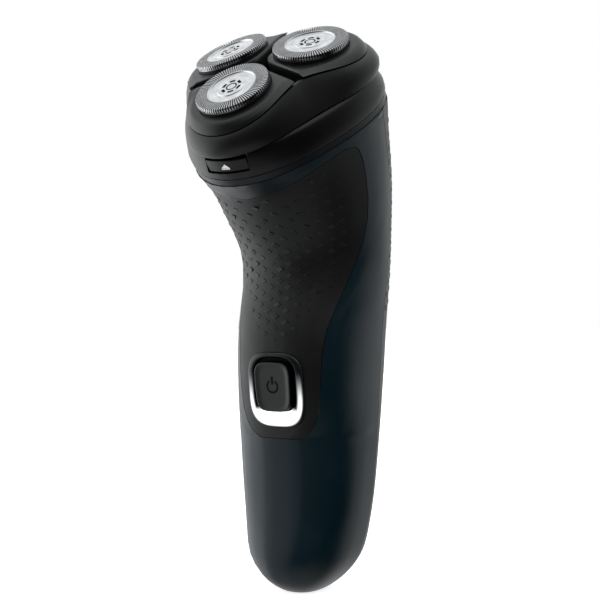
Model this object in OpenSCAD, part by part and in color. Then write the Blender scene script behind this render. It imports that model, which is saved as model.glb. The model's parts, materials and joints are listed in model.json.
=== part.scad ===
// Cordless rotary shaver: a banana-shaped handle that carries a tilted head with three round cutters.
// +Z runs up the handle, -Y is the front with the power button, and the origin is the centre of the
// flat base face. The head has its own frame: its centre is head_centre, its X is the row's X, and
// its plane leans forward by head_lean. Heights in that frame count from the rims of the foil caps.

/* [Head position] */
// Height of the head's centre above the base
head_height = 155; // [140:0.5:175]
// Distance of the head's centre in front of the base's centre
head_reach = 26; // [20:0.5:32]
// Lean of the head plane towards the front, in degrees
head_lean = 36.3; // [30:0.1:42]

/* [Handle] */
// Width of the rounded chin
chin_width = 26.7; // [24:0.1:30]
// Depth of the rounded chin
chin_depth = 36.8; // [34:0.1:40]
// Height over which the chin is rounded
chin_round = 14.3; // [12:0.1:18]
// Width of the foot of the handle
foot_width = 36.8; // [33:0.1:42]
// Depth of the foot of the handle
foot_depth = 30; // [26:0.1:34]
// Width of the handle below the power button
heel_width = 40.4; // [36:0.1:46]
// Depth of the handle below the power button
heel_depth = 31.8; // [28:0.1:36]
// Width of the handle at the power button
palm_width = 40.6; // [36:0.1:46]
// Depth of the handle at the power button
palm_depth = 40.8; // [36:0.1:46]
// Width of the belly above the power button
belly_width = 42.4; // [38:0.1:48]
// Depth of the belly above the power button
belly_depth = 44; // [39:0.1:49]
// Width of the waist
waist_width = 44; // [40:0.1:50]
// Depth of the waist
waist_depth = 43.8; // [39:0.1:49]
// Width of the neck
neck_width = 46.8; // [42:0.1:52]
// Depth of the neck
neck_depth = 43.8; // [39:0.1:49]
// Width of the throat
throat_width = 51.8; // [47:0.1:56]
// Depth of the throat
throat_depth = 47.8; // [43:0.1:53]
// Width of the shoulder under the collar
shoulder_width = 55.8; // [52:0.1:60]
// Depth of the shoulder under the collar
shoulder_depth = 54.2; // [50:0.1:58]
// Thickness of the moulded walls
wall = 1.8; // [1.4:0.1:2.2]
// Gap between neighbouring mouldings
seam = 0.15; // [0.1:0.01:0.3]

/* [Collar] */
// Width of the collar
collar_width = 59.4; // [56:0.1:62]
// Depth of the collar
collar_depth = 60.6; // [57:0.1:63]
// How far the collar's three lobes swell out
lobe = 2; // [1:0.1:2.6]
// Level of the collar's lower edge below the cap rims
collar_foot = 21; // [20:0.1:23]
// Level of the groove between the collar and the head
groove_level = 12.3; // [11.8:0.1:13]
// Height of the band between the collar and the handle
band_height = 1.9; // [1:0.1:3]
// Level of the hair chamber's floor below the cap rims
floor_level = 18.7; // [18:0.1:19.2]
// Thickness of the hair chamber's floor
floor_thickness = 1.2; // [1:0.1:1.6]

/* [Cutting heads] */
// Radius of a foil cap
cap_radius = 11; // [10.5:0.1:11.2]
// Distance of each cap's centre from the head's centre
cap_offset = 15.83; // [15.4:0.01:16.4]
// Outward tilt of each cap, in degrees
cap_tilt = 7.23; // [5:0.01:9]
// Height of a foil cap's wall
cap_height = 4.4; // [4:0.1:4.8]
// Number of hair slots in a cap
slot_count = 45; // [30:1:60]
// Width of a hair slot
slot_width = 0.3; // [0.25:0.01:0.4]
// Number of blades on a cutter
blade_count = 9; // [6:1:15]
// Radius of the round end of a pod
pod_radius = 14.3; // [13.8:0.1:14.6]
// Width of the gaps between the pods
pod_gap = 3; // [2.6:0.1:3.4]
// Depth of a pod's face below the cap rim
pod_face = 2.4; // [2:0.1:2.8]

/* [Drive] */
// Gear module
gear_module = 0.5; // [0.45:0.01:0.55]
// Teeth on the motor pinion
pinion_teeth = 12; // [12:3:15]
// Teeth on each driven gear
gear_teeth = 47; // [44:1:49]
// Gear width
gear_width = 2.5; // [2:0.1:3]
// Radius of a drive spindle
spindle_radius = 1.5; // [1.2:0.1:1.8]
// Running clearance of shafts in their bores
running = 0.05; // [0.03:0.01:0.08]
// Radius of the motor's can
motor_radius = 12; // [10:0.1:12.5]
// Length of the motor's can
motor_length = 28; // [22:0.5:30]
// Radius of the motor's shaft
motor_shaft_radius = 1; // [0.8:0.1:1.2]

/* [Controls] */
// Height of the power button's centre
power_height = 61.2; // [58:0.1:66]
// Width of the power button
power_width = 11.8; // [10:0.1:13]
// Height of the power button's cap
power_tall = 14.4; // [12:0.1:15]
// How far the power button stands proud
power_proud = 1.3; // [0.8:0.1:1.8]
// Travel of the power button
power_travel = 0.8; // [0.5:0.1:1]
// Width of the light ring
ring_width = 18.6; // [17:0.1:20]
// Height of the light ring
ring_tall = 22; // [20:0.1:24]
// How far the light ring's middle sits below the button's
ring_drop = 0.9; // [0:0.1:1.5]
// Width of the release button
release_width = 13.4; // [11:0.1:16]
// Height of the release button's face
release_tall = 3.6; // [3:0.1:4]
// Travel of the release button
release_travel = 1.2; // [0.8:0.1:1.4]

/* [Power] */
// Radius of the battery cell
cell_radius = 7.1; // [6.5:0.1:7.3]
// Length of the battery cell
cell_length = 48; // [44:0.5:50]
// Width of the circuit board
board_width = 26; // [20:0.5:28]
// Thickness of the circuit board
board_thickness = 1.6; // [1:0.1:2]
// Width of the charging socket's pocket
socket_width = 8; // [7:0.1:8.4]
// Depth front to back of the charging socket's pocket
socket_depth = 4.6; // [4.4:0.1:5]
// Radius of a socket pin
pin_radius = 0.8; // [0.6:0.1:1]

/* [Hidden] */
$fn = 64;

small = 0.01;
clear = 0.3;
head_centre = [0, -head_reach, head_height];
pod_angles = [-90, 30, 150];

// ---- the handle's surface -------------------------------------------------------------------
crown_level = collar_foot + band_height + 0.05;
crown_shift = 0.6;
crown = head_centre + crown_level * [0, sin(head_lean), -cos(head_lean)]
    + crown_shift * [0, cos(head_lean), sin(head_lean)];
// Each station: height, shift to the back, lean, half width, half depth, squareness, lobes
stations = [
    [0, 0, 0, chin_width / 2, chin_depth / 2, 2.5, 0],
    [23.5, 2.1, 0, foot_width / 2, foot_depth / 2, 3, 0],
    [41.5, 2.7, 0, heel_width / 2, heel_depth / 2, 2.9, 0],
    [61.5, 3.5, 1, palm_width / 2, palm_depth / 2, 2.7, 0],
    [79.5, 4.6, 5, belly_width / 2, belly_depth / 2, 2.4, 0],
    [93.5, 6.8, 12, waist_width / 2, waist_depth / 2, 2.2, 0],
    [105.5, 6.2, 20, neck_width / 2, neck_depth / 2, 2.1, 0],
    [117.5, 1.6, 28, throat_width / 2, throat_depth / 2, 2.1, 0.3],
    [129.5, -5.6, 34, shoulder_width / 2, shoulder_depth / 2, 2.05, 1.2],
    [crown[2], crown[1], head_lean, collar_width / 2 - 0.1, collar_depth / 2 - 0.1, 2, lobe]];
last = len(stations) - 1;
chin_cut = 1.2;

function slope(i, c) =
    let (a = max(i - 1, 0), b = min(i + 1, last))
    (stations[b][c] - stations[a][c]) / (stations[b][0] - stations[a][0]);
function station_below(z, i = 0) = i >= last - 1 || z < stations[i + 1][0] ? i : station_below(z, i + 1);
// Smooth value of one station column at a height
function along(z, c) =
    let (
        i = station_below(z),
        h = stations[i + 1][0] - stations[i][0],
        s = (z - stations[i][0]) / h)
    (2 * s ^ 3 - 3 * s ^ 2 + 1) * stations[i][c] + (s ^ 3 - 2 * s ^ 2 + s) * h * slope(i, c)
    + (3 * s ^ 2 - 2 * s ^ 3) * stations[i + 1][c] + (s ^ 3 - s ^ 2) * h * slope(i + 1, c);
function chin_scale(z) = sqrt(1 - max(0, 1 - (z + chin_cut) / (chin_round + chin_cut)) ^ 2);
function corner(c, n) = sign(c) * abs(c) ^ (2 / n);
function lobes(a, k) = 1 + k / 30 * cos(3 * (a + 90));
// Point of the handle's skin: a is the angle round the handle, 270 at the front
function skin(z, a) =
    let (n = along(z, 5), g = lobes(a, along(z, 6)) * chin_scale(z), lean = along(z, 2),
        v = along(z, 4) * g * corner(sin(a), n))
    [along(z, 3) * g * corner(cos(a), n), along(z, 1) + v * cos(lean), z + v * sin(lean)];
function unit(v) = v / norm(v);
function skin_normal(z, a) =
    let (z0 = max(z - 0.3, 0), z1 = min(z + 0.3, crown[2]))
    unit(cross(skin(z, a + 1.5) - skin(z, a - 1.5), skin(z1, a) - skin(z0, a)));
function under(z, a, depth) = skin(z, a) - depth * skin_normal(z, a);

// ---- meshes from grids of points ------------------------------------------------------------
function triangles(a, b, c, d) = [[a, b, c], [a, c, d]];
// Wall between two grids of points with rows upwards and columns anticlockwise; keep[i][j] is its cells
module wall_grid(outer, inner, keep) {
    rows = len(outer);
    cols = len(outer[0]);
    size = rows * cols;
    has = function(i, j) i >= 0 && j >= 0 && i < rows - 1 && j < cols - 1 && keep[i][j];
    cells = [for (i = [0:rows - 2]) for (j = [0:cols - 2]) if (keep[i][j])
        let (a = i * cols + j, b = a + 1, c = b + cols, d = a + cols)
        concat(
            triangles(a, d, c, b),
            triangles(a + size, b + size, c + size, d + size),
            has(i - 1, j) ? [] : triangles(a, b, b + size, a + size),
            has(i + 1, j) ? [] : triangles(d, d + size, c + size, c),
            has(i, j - 1) ? [] : triangles(a, a + size, d + size, d),
            has(i, j + 1) ? [] : triangles(b, c, c + size, b + size))];
    used = [for (list = cells) for (f = list) f];
    polyhedron([for (row = outer) each row, for (row = inner) each row], used, convexity = 8);
}
// Closed band: rings[i] are closed outlines, and the last ring joins the first
module closed_band(rings) {
    rows = len(rings);
    cols = len(rings[0]);
    polyhedron([for (ring = rings) each ring],
        [for (i = [0:rows - 1]) for (j = [0:cols - 1])
            let (k = (j + 1) % cols, up = ((i + 1) % rows) * cols, at = i * cols)
            each triangles(at + j, up + j, up + k, at + k)], convexity = 8);
}
// Solid between stacked convex outlines, the first at the bottom
module stack(rings) {
    rows = len(rings);
    cols = len(rings[0]);
    polyhedron([for (ring = rings) each ring],
        concat([[for (j = [0:cols - 1]) j]],
            [[for (j = [cols - 1:-1:0]) (rows - 1) * cols + j]],
            [for (i = [0:rows - 2]) for (j = [0:cols - 1])
                let (k = (j + 1) % cols, up = (i + 1) * cols, at = i * cols)
                each triangles(at + j, up + j, up + k, at + k)]), convexity = 4);
}

// ---- the front grip's outline ---------------------------------------------------------------
grip_foot = 46;
// Share of the grip's height, and half its angle round the handle
grip_outline = [[0, 12], [0.02, 20], [0.05, 27], [0.1, 33], [0.2, 37], [0.3, 38.5], [0.38, 42],
    [0.45, 47], [0.53, 53], [0.62, 60.5], [0.7, 67.5], [0.78, 72], [0.88, 75], [0.95, 76],
    [0.98, 75], [0.994, 72], [1, 66]];
grip_shares = [0, 0.02, 0.05, 0.1, 0.16, 0.22, 0.3, 0.38, 0.45, 0.53, 0.61, 0.68, 0.75, 0.82, 0.89,
    0.94, 0.975, 0.99, 1];
function grip_angle(s) = lookup(s, grip_outline);
function grip_head(a) = crown[2] - 5.5 + 3.8 * sin(min(abs(a) * 90 / 72, 90)) ^ 1.4;
seam_angle = 102;
grip_columns = 6;
side_columns = 7;
function grip_column_angle(s, j, part) =
    abs(j) <= grip_columns ? grip_angle(s) * j / grip_columns
    : sign(j) * (grip_angle(s) + (part - grip_angle(s)) * (abs(j) - grip_columns) / side_columns);
chin_heights = [for (t = [0, 14, 26, 38, 50, 63, 76, 90]) chin_round * (1 - cos(t))];
foot_heights = concat(chin_heights, [19, 24.5, 30, 35.5, 41]);
top_steps = 3;

// Height and angle of the front shell's grid: rows below the grip, along it, and above it
function front_rows() = len(foot_heights) + len(grip_shares) + top_steps;
function front_at(i, j, part) =
    let (below = len(foot_heights), grip = len(grip_shares))
    i < below ? [foot_heights[i], grip_column_angle(0, j, part)]
    : i < below + grip ? let (s = grip_shares[i - below], a = grip_column_angle(s, j, part))
        [grip_foot + s * (grip_head(a) - grip_foot), a]
    : let (t = (i - below - grip + 1) / top_steps,
        a = grip_column_angle(1, j, part) * (1 - t) + t * part * j / (grip_columns + side_columns))
        [grip_head(a) + t * (crown[2] - grip_head(a)), a];
function front_point(i, j, part, depth) = let (p = front_at(i, j, part)) under(p[0], 270 + p[1], depth);

// Everything above the plane where the shells meet the band
module above_crown() {
    in_head()
        translate([0, 0, -crown_level - small])
            cylinder(r = collar_depth, h = 6);
}

module front_shell() {
    reach = grip_columns + side_columns;
    part = seam_angle - 0.25;
    first = len(foot_heights);
    final = first + len(grip_shares) - 1;
    color([0.05, 0.09, 0.12])
        difference() {
            wall_grid(
                [for (i = [0:front_rows() - 1]) [for (j = [-reach:reach]) front_point(i, j, part, 0)]],
                [for (i = [0:front_rows() - 1]) [for (j = [-reach:reach]) front_point(i, j, part, wall)]],
                [for (i = [0:front_rows() - 2]) [for (j = [-reach:reach - 1])
                    i < first || i >= final || j < -grip_columns || j >= grip_columns]]);
            base_opening();
            above_crown();
        }
}

module rear_cover() {
    heights = concat(foot_heights, [for (z = [46:5:crown[2] - 4]) z], [crown[2]]);
    sweep = 180 - 2 * (seam_angle - 90);
    cols = 12;
    color([0.04, 0.04, 0.045])
        difference() {
            wall_grid(
                [for (z = heights) [for (j = [0:cols])
                    skin(z, seam_angle - 90 + 0.25 + j / cols * (sweep - 0.5))]],
                [for (z = heights) [for (j = [0:cols])
                    under(z, seam_angle - 90 + 0.25 + j / cols * (sweep - 0.5), wall)]],
                [for (i = [0:len(heights) - 2]) [for (j = [0:cols - 1]) true]]);
            base_opening();
            above_crown();
        }
}

module front_grip() {
    n = len(grip_shares) - 1;
    edge = 0.5;
    place = function(i, j, depth)
        let (s = grip_shares[i], a = (grip_angle(s) - edge) * j / grip_columns,
            z = grip_foot + s * (grip_head(a) - grip_foot) + (i == 0 ? seam : i == n ? -seam : 0))
        under(z, 270 + a, depth);
    color([0.07, 0.07, 0.075])
        difference() {
            wall_grid(
                [for (i = [0:n]) [for (j = [-grip_columns:grip_columns]) place(i, j, 0.05)]],
                [for (i = [0:n]) [for (j = [-grip_columns:grip_columns]) place(i, j, wall)]],
                [for (i = [0:n - 1]) [for (j = [-grip_columns:grip_columns - 1]) true]]);
            at_power()
                translate([0, 0, -8])
                    linear_extrude(12) ring_outline(seam);
        }
}

// ---- power button and light ring --------------------------------------------------------------
power_lean = 7.7;
power_face = skin(power_height, 270)[1];
module at_power() {
    translate([0, power_face, power_height]) rotate([90 + power_lean, 0, 0]) children();
}
// Outline of a rounded key, a little narrower at the bottom than at the top
function key_outline(w, h, n, taper) = [for (a = [0:7.5:359])
    let (x = corner(cos(a), n), y = corner(sin(a), n)) [w / 2 * x * (1 + taper * y), h / 2 * y]];
ring_bore_width = power_width + 2.4;
ring_bore_tall = power_tall + 1.8;
ring_bore_lift = 0.6;
module ring_outline(grow = 0) {
    translate([0, -ring_drop])
        polygon(key_outline(ring_width + 2 * grow, ring_tall + 2 * grow, 3.2, 0.04));
}
module ring_bore(grow = 0) {
    translate([0, ring_bore_lift])
        polygon(key_outline(ring_bore_width + 2 * grow, ring_bore_tall + 2 * grow, 3.6, 0.03));
}
module light_ring() {
    span = 30;
    color([0.9, 0.93, 0.95])
        difference() {
            union() {
                intersection() {
                    at_power()
                        translate([0, 0, -6])
                            linear_extrude(12) ring_outline();
                    wall_grid(
                        [for (z = [power_height - 14:3.5:power_height + 14])
                            [for (a = [-span:5:span]) under(z, 270 + a, -0.25)]],
                        [for (z = [power_height - 14:3.5:power_height + 14])
                            [for (a = [-span:5:span]) under(z, 270 + a, 3.9)]],
                        [for (i = [0:7]) [for (j = [0:2 * span / 5 - 1]) true]]);
                }
                at_power()
                    translate([0, 0, -bezel_foot])
                        linear_extrude(1.2) ring_outline(1);
            }
            at_power()
                translate([0, 0, -8])
                    linear_extrude(14) ring_bore();
        }
}
power_drop = 0.2;
bezel_foot = 4.8;
module power_outline(grow = 0) {
    translate([0, power_drop])
        polygon(key_outline(power_width + 2 * grow, power_tall + 2 * grow, 4.2, 0.03));
}
module power_button() {
    color([0.06, 0.06, 0.065])
        at_power() {
            translate([0, 0, -bezel_foot - 0.3])
                linear_extrude(bezel_foot + 0.3 + power_proud) power_outline();
            translate([0, 0, -bezel_foot - 1])
                linear_extrude(0.8) power_outline(0.7);
            translate([0, 0, power_travel - bezel_foot - 2.3])
                cylinder(r = 2, h = 1.8 - power_travel);
        }
}
module button_bezel() {
    color([0.03, 0.03, 0.035])
        at_power()
            translate([0, 0, -bezel_foot])
                linear_extrude(bezel_foot - 1.3)
                    difference() {
                        ring_bore(-0.1);
                        power_outline(0.15);
                    }
}

// ---- charging socket ---------------------------------------------------------------------------
neck_half = [socket_width / 2 + 1.1, 6.9];
neck_squareness = 2.5;
socket_tall = 11;
module base_opening() {
    translate([0, 0, -1])
        linear_extrude(4)
            polygon(key_outline(2 * neck_half[0] + 2 * seam, 2 * neck_half[1] + 2 * seam, neck_squareness, 0));
}
module base_socket() {
    color([0.05, 0.05, 0.055])
        difference() {
            union() {
                linear_extrude(4.5)
                    polygon(key_outline(2 * neck_half[0], 2 * neck_half[1], neck_squareness, 0));
                translate([-6.5, -5, 4.4])
                    cube([13, 10, socket_tall - 2.6]);
            }
            translate([-socket_width / 2, -socket_depth / 2, -1])
                cube([socket_width, socket_depth, socket_tall + 1]);
            for (x = [-2, 2])
                translate([x, 0, socket_tall - 1])
                    cylinder(r = pin_radius + small, h = 4);
        }
}
module socket_pins() {
    color([0.8, 0.8, 0.8])
        for (x = [-2, 2])
            translate([x, 0, 6.4])
                cylinder(r = pin_radius, h = socket_tall);
}

// ---- inside the handle ---------------------------------------------------------------------------
cell_place = [0, 6.6, 22];
board_face = -5.2;
board_foot = 20;
board_tall = 62;
chassis_face = -3.3;
module battery() {
    color([0.25, 0.45, 0.3])
        translate(cell_place) {
            cylinder(r = cell_radius, h = cell_length - 1);
            translate([0, 0, cell_length - 1.5])
                cylinder(r = 2.8, h = 1.5);
        }
}
module battery_contacts() {
    color([0.8, 0.75, 0.6]) {
        translate(cell_place + [-5, -8, -0.5 - small])
            cube([10, 13, 0.5]);
        translate(cell_place + [-4, -8, cell_length + small])
            cube([8, 12, 0.5]);
    }
}
module circuit_board() {
    color([0.1, 0.35, 0.2])
        difference() {
            translate([-board_width / 2, board_face, board_foot])
                cube([board_width, board_thickness, board_tall]);
            for (z = [board_foot + 4, board_foot + board_tall - 4])
                translate([0, board_face - 1, z])
                    rotate([-90, 0, 0]) cylinder(r = 1.2, h = 4);
        }
}
module board_screws() {
    color([0.7, 0.7, 0.72])
        for (z = [board_foot + 4, board_foot + board_tall - 4])
            translate([0, board_face - 1, z])
                rotate([-90, 0, 0]) {
                    cylinder(r = 1.9, h = 1);
                    cylinder(r = 0.89, h = 4);
                }
}
module power_switch() {
    color([0.15, 0.15, 0.15]) {
        translate([-3, board_face - 3.4 - small, power_height - 3])
            cube([6, 3.4, 6]);
        translate([0, board_face - 3.3, power_height])
            rotate([90, 0, 0]) cylinder(r = 1.7, h = 0.9);
    }
}
module indicator_led() {
    color([0.95, 0.95, 0.85])
        for (x = [-4.5, 4.5])
            translate([x - 1.4, board_face - 1.5 - small, power_height - 11.5])
                cube([2.8, 1.5, 2]);
}
cradle_level = 48;
chassis_thickness = 1.6;
chassis_tall = 68;
chassis_rows = [for (k = [0:7]) board_foot + chassis_tall * k / 7];
shelf = [18, 17, 1.4];
// Half width of the space inside the shells at a height and a depth
function inside_half(z, y) =
    along(z, 3) * (1 - abs((y - along(z, 1)) / along(z, 4)) ^ along(z, 5)) ^ (1 / along(z, 5)) - wall;
module chassis() {
    arm = [10.4, 2.6];
    edge = [for (z = chassis_rows) [inside_half(z, chassis_face) - 0.35, z]];
    color([0.3, 0.3, 0.32])
        difference() {
            union() {
                translate([0, chassis_face + chassis_thickness, 0])
                    rotate([90, 0, 0])
                        linear_extrude(chassis_thickness)
                            polygon(concat(edge, [for (k = [len(edge) - 1:-1:0]) [-edge[k][0], edge[k][1]]]));
                for (s = [-1, 1])
                    translate([s * (arm[0] + arm[1] / 2) - arm[1] / 2, chassis_face, board_foot + 60])
                        cube([arm[1], chassis_thickness, cradle_floor() - board_foot - 60]);
                for (z = [cell_place[2] - 0.5 - 2 * small - shelf[2], cell_place[2] + cell_length + 0.5 + 2 * small])
                    translate([-shelf[0] / 2, chassis_face, z])
                        cube(shelf);
                in_head()
                    translate([0, 0, -cradle_level - 2])
                        cylinder(r = motor_radius + 1.5, h = 4);
            }
            in_head()
                translate([0, 0, -cradle_level - 3])
                    cylinder(r = motor_radius + 0.1, h = 12);
            for (z = [board_foot + 4, board_foot + board_tall - 4])
                translate([0, chassis_face - 1, z])
                    rotate([-90, 0, 0]) cylinder(r = 0.9, h = 4);
        }
}
// Height where the chassis plate meets the motor's cradle
function cradle_floor() = head_height - cradle_level * cos(head_lean) - 4;

// ---- head frame ------------------------------------------------------------------------------------
module in_head() {
    translate(head_centre) rotate([head_lean, 0, 0]) children();
}
function to_head(p) = head_centre + [p[0], p[1] * cos(head_lean) - p[2] * sin(head_lean),
    p[1] * sin(head_lean) + p[2] * cos(head_lean)];
module at_pod(i) {
    in_head() rotate([0, 0, pod_angles[i]]) children();
}
module at_cap(i) {
    at_pod(i) translate([cap_offset, 0, 0]) rotate([0, cap_tilt, 0]) children();
}
// Three-lobed outline in the head plane
function outline(half_width, half_depth, shift, swell, step = 5) = [for (a = [0:step:359])
    let (g = lobes(a, swell)) [half_width * cos(a) * g, shift + half_depth * sin(a) * g]];
function lift(points, w) = [for (p = points) to_head([p[0], p[1], w])];

spindle_offset = (pinion_teeth + gear_teeth) * gear_module / 2;
// Depth at which a cap's axis crosses its spindle's axis
meeting_depth = (cap_offset - spindle_offset) / sin(cap_tilt);

module neck_ring() {
    color([0.16, 0.17, 0.18])
        in_head()
            translate([0, 0, -collar_foot - 0.05 - band_height + 0.02])
                linear_extrude(band_height)
                    difference() {
                        polygon(outline(collar_width / 2 - 0.4, collar_depth / 2 - 0.4, crown_shift, lobe));
                        polygon(outline(collar_width / 2 - 0.4 - wall, collar_depth / 2 - 0.4 - wall,
                            crown_shift, lobe));
                    }
}

// ---- collar and hinge --------------------------------------------------------------------------------
// Level below the cap rims, inset from the full outline, backward shift
collar_rows = [[collar_foot, 0.5, 0.6], [collar_foot - 0.8, 0, 0.6], [collar_foot - 3, -0.1, 0.5],
    [groove_level + 3.4, 0.5, 0.3], [groove_level + 1.5, 1.1, 0.1], [groove_level + 0.6, 1.9, 0],
    [groove_level + 0.35, 3, 0]];
hinge_back = collar_depth / 2 - 3;
hinge_level = groove_level - 0.1;
hinge_radius = 1.8;
pin_half = 7.6;
knuckle_half = 3;
release_level = 16.5;
button_back = collar_depth / 2 - 2.3;
tongue_back = button_back - release_travel - 0.8;
outside = collar_depth / 2 + 10;
module collar_ring() {
    full = [collar_width / 2, collar_depth / 2];
    outer = [for (r = collar_rows) lift(outline(full[0] - r[1], full[1] - r[1], r[2], lobe), -r[0])];
    inner = [for (r = [[groove_level + 0.35, 3.6, 0], [groove_level + 2, 3.4, 0.2],
        [collar_foot - 3, 2.2, 0.5], [collar_foot, 2.3, 0.6]])
        lift(outline(full[0] - r[1], full[1] - r[1], r[2], lobe), -r[0])];
    closed_band(concat(outer, inner));
}
post_offset = 21.6;
post_radius = 2.6;
plate_level = 23.2;
module hair_chamber() {
    inside = [collar_width / 2 - 2, collar_depth / 2 - 2];
    color([0.045, 0.045, 0.05])
        difference() {
            union() {
                collar_ring();
                in_head() {
                    translate([0, 0, -floor_level - floor_thickness])
                        linear_extrude(floor_thickness)
                            polygon(outline(inside[0], inside[1], 0.5, lobe, 10));
                    for (a = pod_angles)
                        rotate([0, 0, a]) {
                            translate([spindle_offset, 0, -floor_level - small])
                                cylinder(r = 3, h = 3);
                            rotate([0, 0, 60])
                                translate([post_offset, 0, -plate_level + small])
                                    cylinder(r = post_radius, h = plate_level - floor_level);
                        }
                    for (s = [-1, 1])
                        translate([s * (knuckle_half + clear) + (s < 0 ? -(pin_half - knuckle_half - clear) : 0),
                            hinge_back, -hinge_level])
                            rotate([0, 90, 0])
                                cylinder(r = hinge_radius, h = pin_half - knuckle_half - clear);
                }
            }
            in_head() {
                for (a = pod_angles)
                    rotate([0, 0, a]) {
                        translate([spindle_offset, 0, -floor_level - 4])
                            cylinder(r = spindle_radius + running, h = 12);
                        rotate([0, 0, 60])
                            translate([post_offset, 0, -plate_level - 1])
                                cylinder(r = 0.8, h = 5);
                    }
                translate([-10, hinge_back, -hinge_level])
                    rotate([0, 90, 0]) cylinder(r = 1, h = 20);
                translate([-knuckle_half - clear, hinge_back, -hinge_level])
                    rotate([0, 90, 0])
                        cylinder(r = hinge_radius + 0.4, h = 2 * (knuckle_half + clear));
                translate([-release_width / 2 - 0.25, -outside, -release_level - release_tall / 2 - 0.25])
                    cube([release_width + 0.5, outside - tongue_back, release_tall + 1.3]);
            }
        }
}
module hinge_pin() {
    color([0.75, 0.75, 0.77])
        in_head()
            translate([-pin_half, hinge_back, -hinge_level])
                rotate([0, 90, 0]) cylinder(r = 1, h = 2 * pin_half);
}
tongue_half = 3;
module release_button() {
    color([0.08, 0.08, 0.085])
        in_head() {
            intersection() {
                translate([0, 0, -release_level - release_tall / 2])
                    linear_extrude(release_tall)
                        polygon(outline(collar_width / 2 - 0.45, collar_depth / 2 - 0.45, 0.4, lobe, 2.5));
                translate([-release_width / 2, -outside, -release_level - release_tall])
                    cube([release_width, outside - button_back, 2 * release_tall]);
            }
            translate([-tongue_half, -button_back - 0.5, -release_level])
                cube([2 * tongue_half, button_back + 0.5 - tongue_back, release_tall / 2]);
            translate([-tongue_half, -tongue_back - 1.2, -release_level + release_tall / 2 - small])
                cube([2 * tongue_half, 1.2, release_level - release_tall / 2 - groove_level + 1]);
        }
}

// ---- drive ---------------------------------------------------------------------------------------------
pressure = 25;
backlash = 0.09;
function involute(base, r) = let (t = acos(base / r)) tan(t) * 180 / PI - t;
// Gear outline with a tooth on the +X axis
function gear_outline(teeth, m) =
    let (
        pitch = teeth * m / 2,
        base = pitch * cos(pressure),
        root = pitch - 1.2 * m,
        tip = pitch + 0.95 * m,
        half = 90 / teeth - backlash / 2 / pitch * 180 / PI + involute(base, pitch),
        start = max(base, root) + 0.001,
        foot = half - involute(base, start) + 0.4,
        radii = [for (k = [0:4]) start + (tip - start) * k / 4])
    [for (i = [0:teeth - 1]) let (c = 360 * i / teeth)
        each concat(
            [root * [cos(c - foot), sin(c - foot)]],
            [for (r = radii) r * [cos(c - half + involute(base, r)), sin(c - half + involute(base, r))]],
            [for (k = [4:-1:0]) let (r = radii[k])
                r * [cos(c + half - involute(base, r)), sin(c + half - involute(base, r))]],
            [root * [cos(c + foot), sin(c + foot)]])];
gear_level = 22.6;
plate_thickness = 1.4;
plate_inset = 4.6;
module gear_plate() {
    color([0.75, 0.75, 0.72])
        in_head()
            difference() {
                translate([0, 0, -plate_level - plate_thickness])
                    linear_extrude(plate_thickness)
                        polygon(outline(collar_width / 2 - plate_inset, collar_depth / 2 - plate_inset,
                            crown_shift, lobe));
                translate([0, 0, -plate_level - 3])
                    cylinder(r = 3.2, h = 5);
                for (a = pod_angles)
                    rotate([0, 0, a]) {
                        translate([spindle_offset, 0, -plate_level - 3])
                            cylinder(r = spindle_radius + running, h = 5);
                        rotate([0, 0, 60])
                            translate([post_offset, 0, -plate_level - 3])
                                cylinder(r = 1.1, h = 5);
                    }
            }
}
module plate_screws() {
    color([0.7, 0.7, 0.72])
        in_head()
            for (a = pod_angles)
                rotate([0, 0, a + 60])
                    translate([post_offset, 0, -plate_level - plate_thickness - 1.4]) {
                        cylinder(r = 2, h = 1.4);
                        cylinder(r = 0.8 - small, h = 5);
                    }
}
module motor() {
    color([0.7, 0.7, 0.72])
        in_head()
            difference() {
                union() {
                    translate([0, 0, -plate_level - plate_thickness - 0.02 - motor_length])
                        cylinder(r = motor_radius, h = motor_length);
                    translate([0, 0, -plate_level - plate_thickness - 1])
                        cylinder(r = 3, h = 2);
                    translate([0, 0, -plate_level - plate_thickness - motor_length - 1.5])
                        cylinder(r = 4, h = 2);
                }
                translate([0, 0, -plate_level - plate_thickness - motor_length + 1])
                    cylinder(r = motor_shaft_radius + running, h = motor_length + 4);
            }
}
module motor_shaft() {
    color([0.8, 0.8, 0.82])
        in_head()
            translate([0, 0, -plate_level - plate_thickness - motor_length + 1.5])
                cylinder(r = motor_shaft_radius, h = plate_level + plate_thickness + motor_length
                    - 1.5 - gear_level + gear_width);
}
module motor_pinion() {
    color([0.85, 0.7, 0.35])
        in_head()
            rotate([0, 0, pod_angles[0]])
                translate([0, 0, -gear_level])
                    linear_extrude(gear_width)
                        difference() {
                            polygon(gear_outline(pinion_teeth, gear_module));
                            circle(r = motor_shaft_radius + small);
                        }
}
module drive_gear(i) {
    color([0.9, 0.9, 0.86])
        at_pod(i)
            translate([spindle_offset, 0, -gear_level])
                rotate([0, 0, 180 + 180 / gear_teeth])
                    linear_extrude(gear_width)
                        difference() {
                            polygon(gear_outline(gear_teeth, gear_module));
                            circle(r = spindle_radius + small);
                        }
}
module drive_gear_1() drive_gear(0);
module drive_gear_2() drive_gear(1);
module drive_gear_3() drive_gear(2);
dog_half = [1.8, 0.7];
dog_top = meeting_depth * cos(cap_tilt) - 0.7;
dog_foot = dog_top + 2.3;
module drive_spindle(i) {
    foot = plate_level + plate_thickness - 0.1;
    color([0.85, 0.85, 0.8])
        at_pod(i)
            translate([spindle_offset, 0, 0]) {
                translate([0, 0, -foot])
                    cylinder(r = spindle_radius, h = foot - dog_foot);
                translate([-dog_half[0], -dog_half[1], -dog_foot - small])
                    cube([2 * dog_half[0], 2 * dog_half[1], dog_foot - dog_top]);
            }
}
module drive_spindle_1() drive_spindle(0);
module drive_spindle_2() drive_spindle(1);
module drive_spindle_3() drive_spindle(2);
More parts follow.
